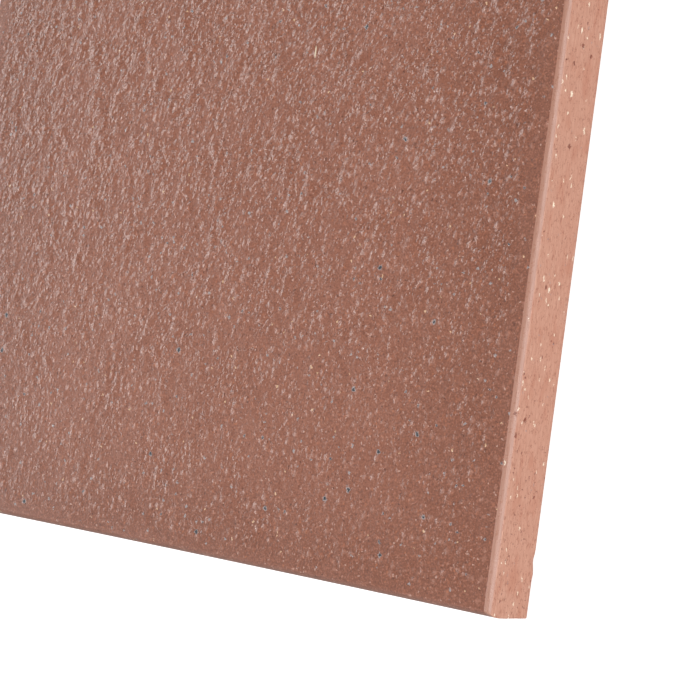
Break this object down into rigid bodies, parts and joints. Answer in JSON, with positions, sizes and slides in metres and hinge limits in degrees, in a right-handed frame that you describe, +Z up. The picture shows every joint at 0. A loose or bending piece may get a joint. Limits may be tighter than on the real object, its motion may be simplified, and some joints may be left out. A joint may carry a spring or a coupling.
{
  "type": "quarry tile",
  "caption": "Square unglazed red clay floor tile with an orange-peel face, bevelled sides, rolled cut edges and a back grooved to key into its mortar bed.",
  "frame": {"origin": "under the middle of the tile, on the plane that the lands of its back rest on", "axes": "+Z up out of the wearing face, +Y along the back's grooves and the die-formed sides, +X across them"},
  "size_m": [0.15, 0.15, 0.0125],
  "materials": {
    "fired_clay": "unglazed fired red clay, satin face with a fine orange-peel relief, paler matt sides"
  },
  "bodies": {
    "root": {"quarry_tile": "fired_clay"}
  },
  "joints": []
}
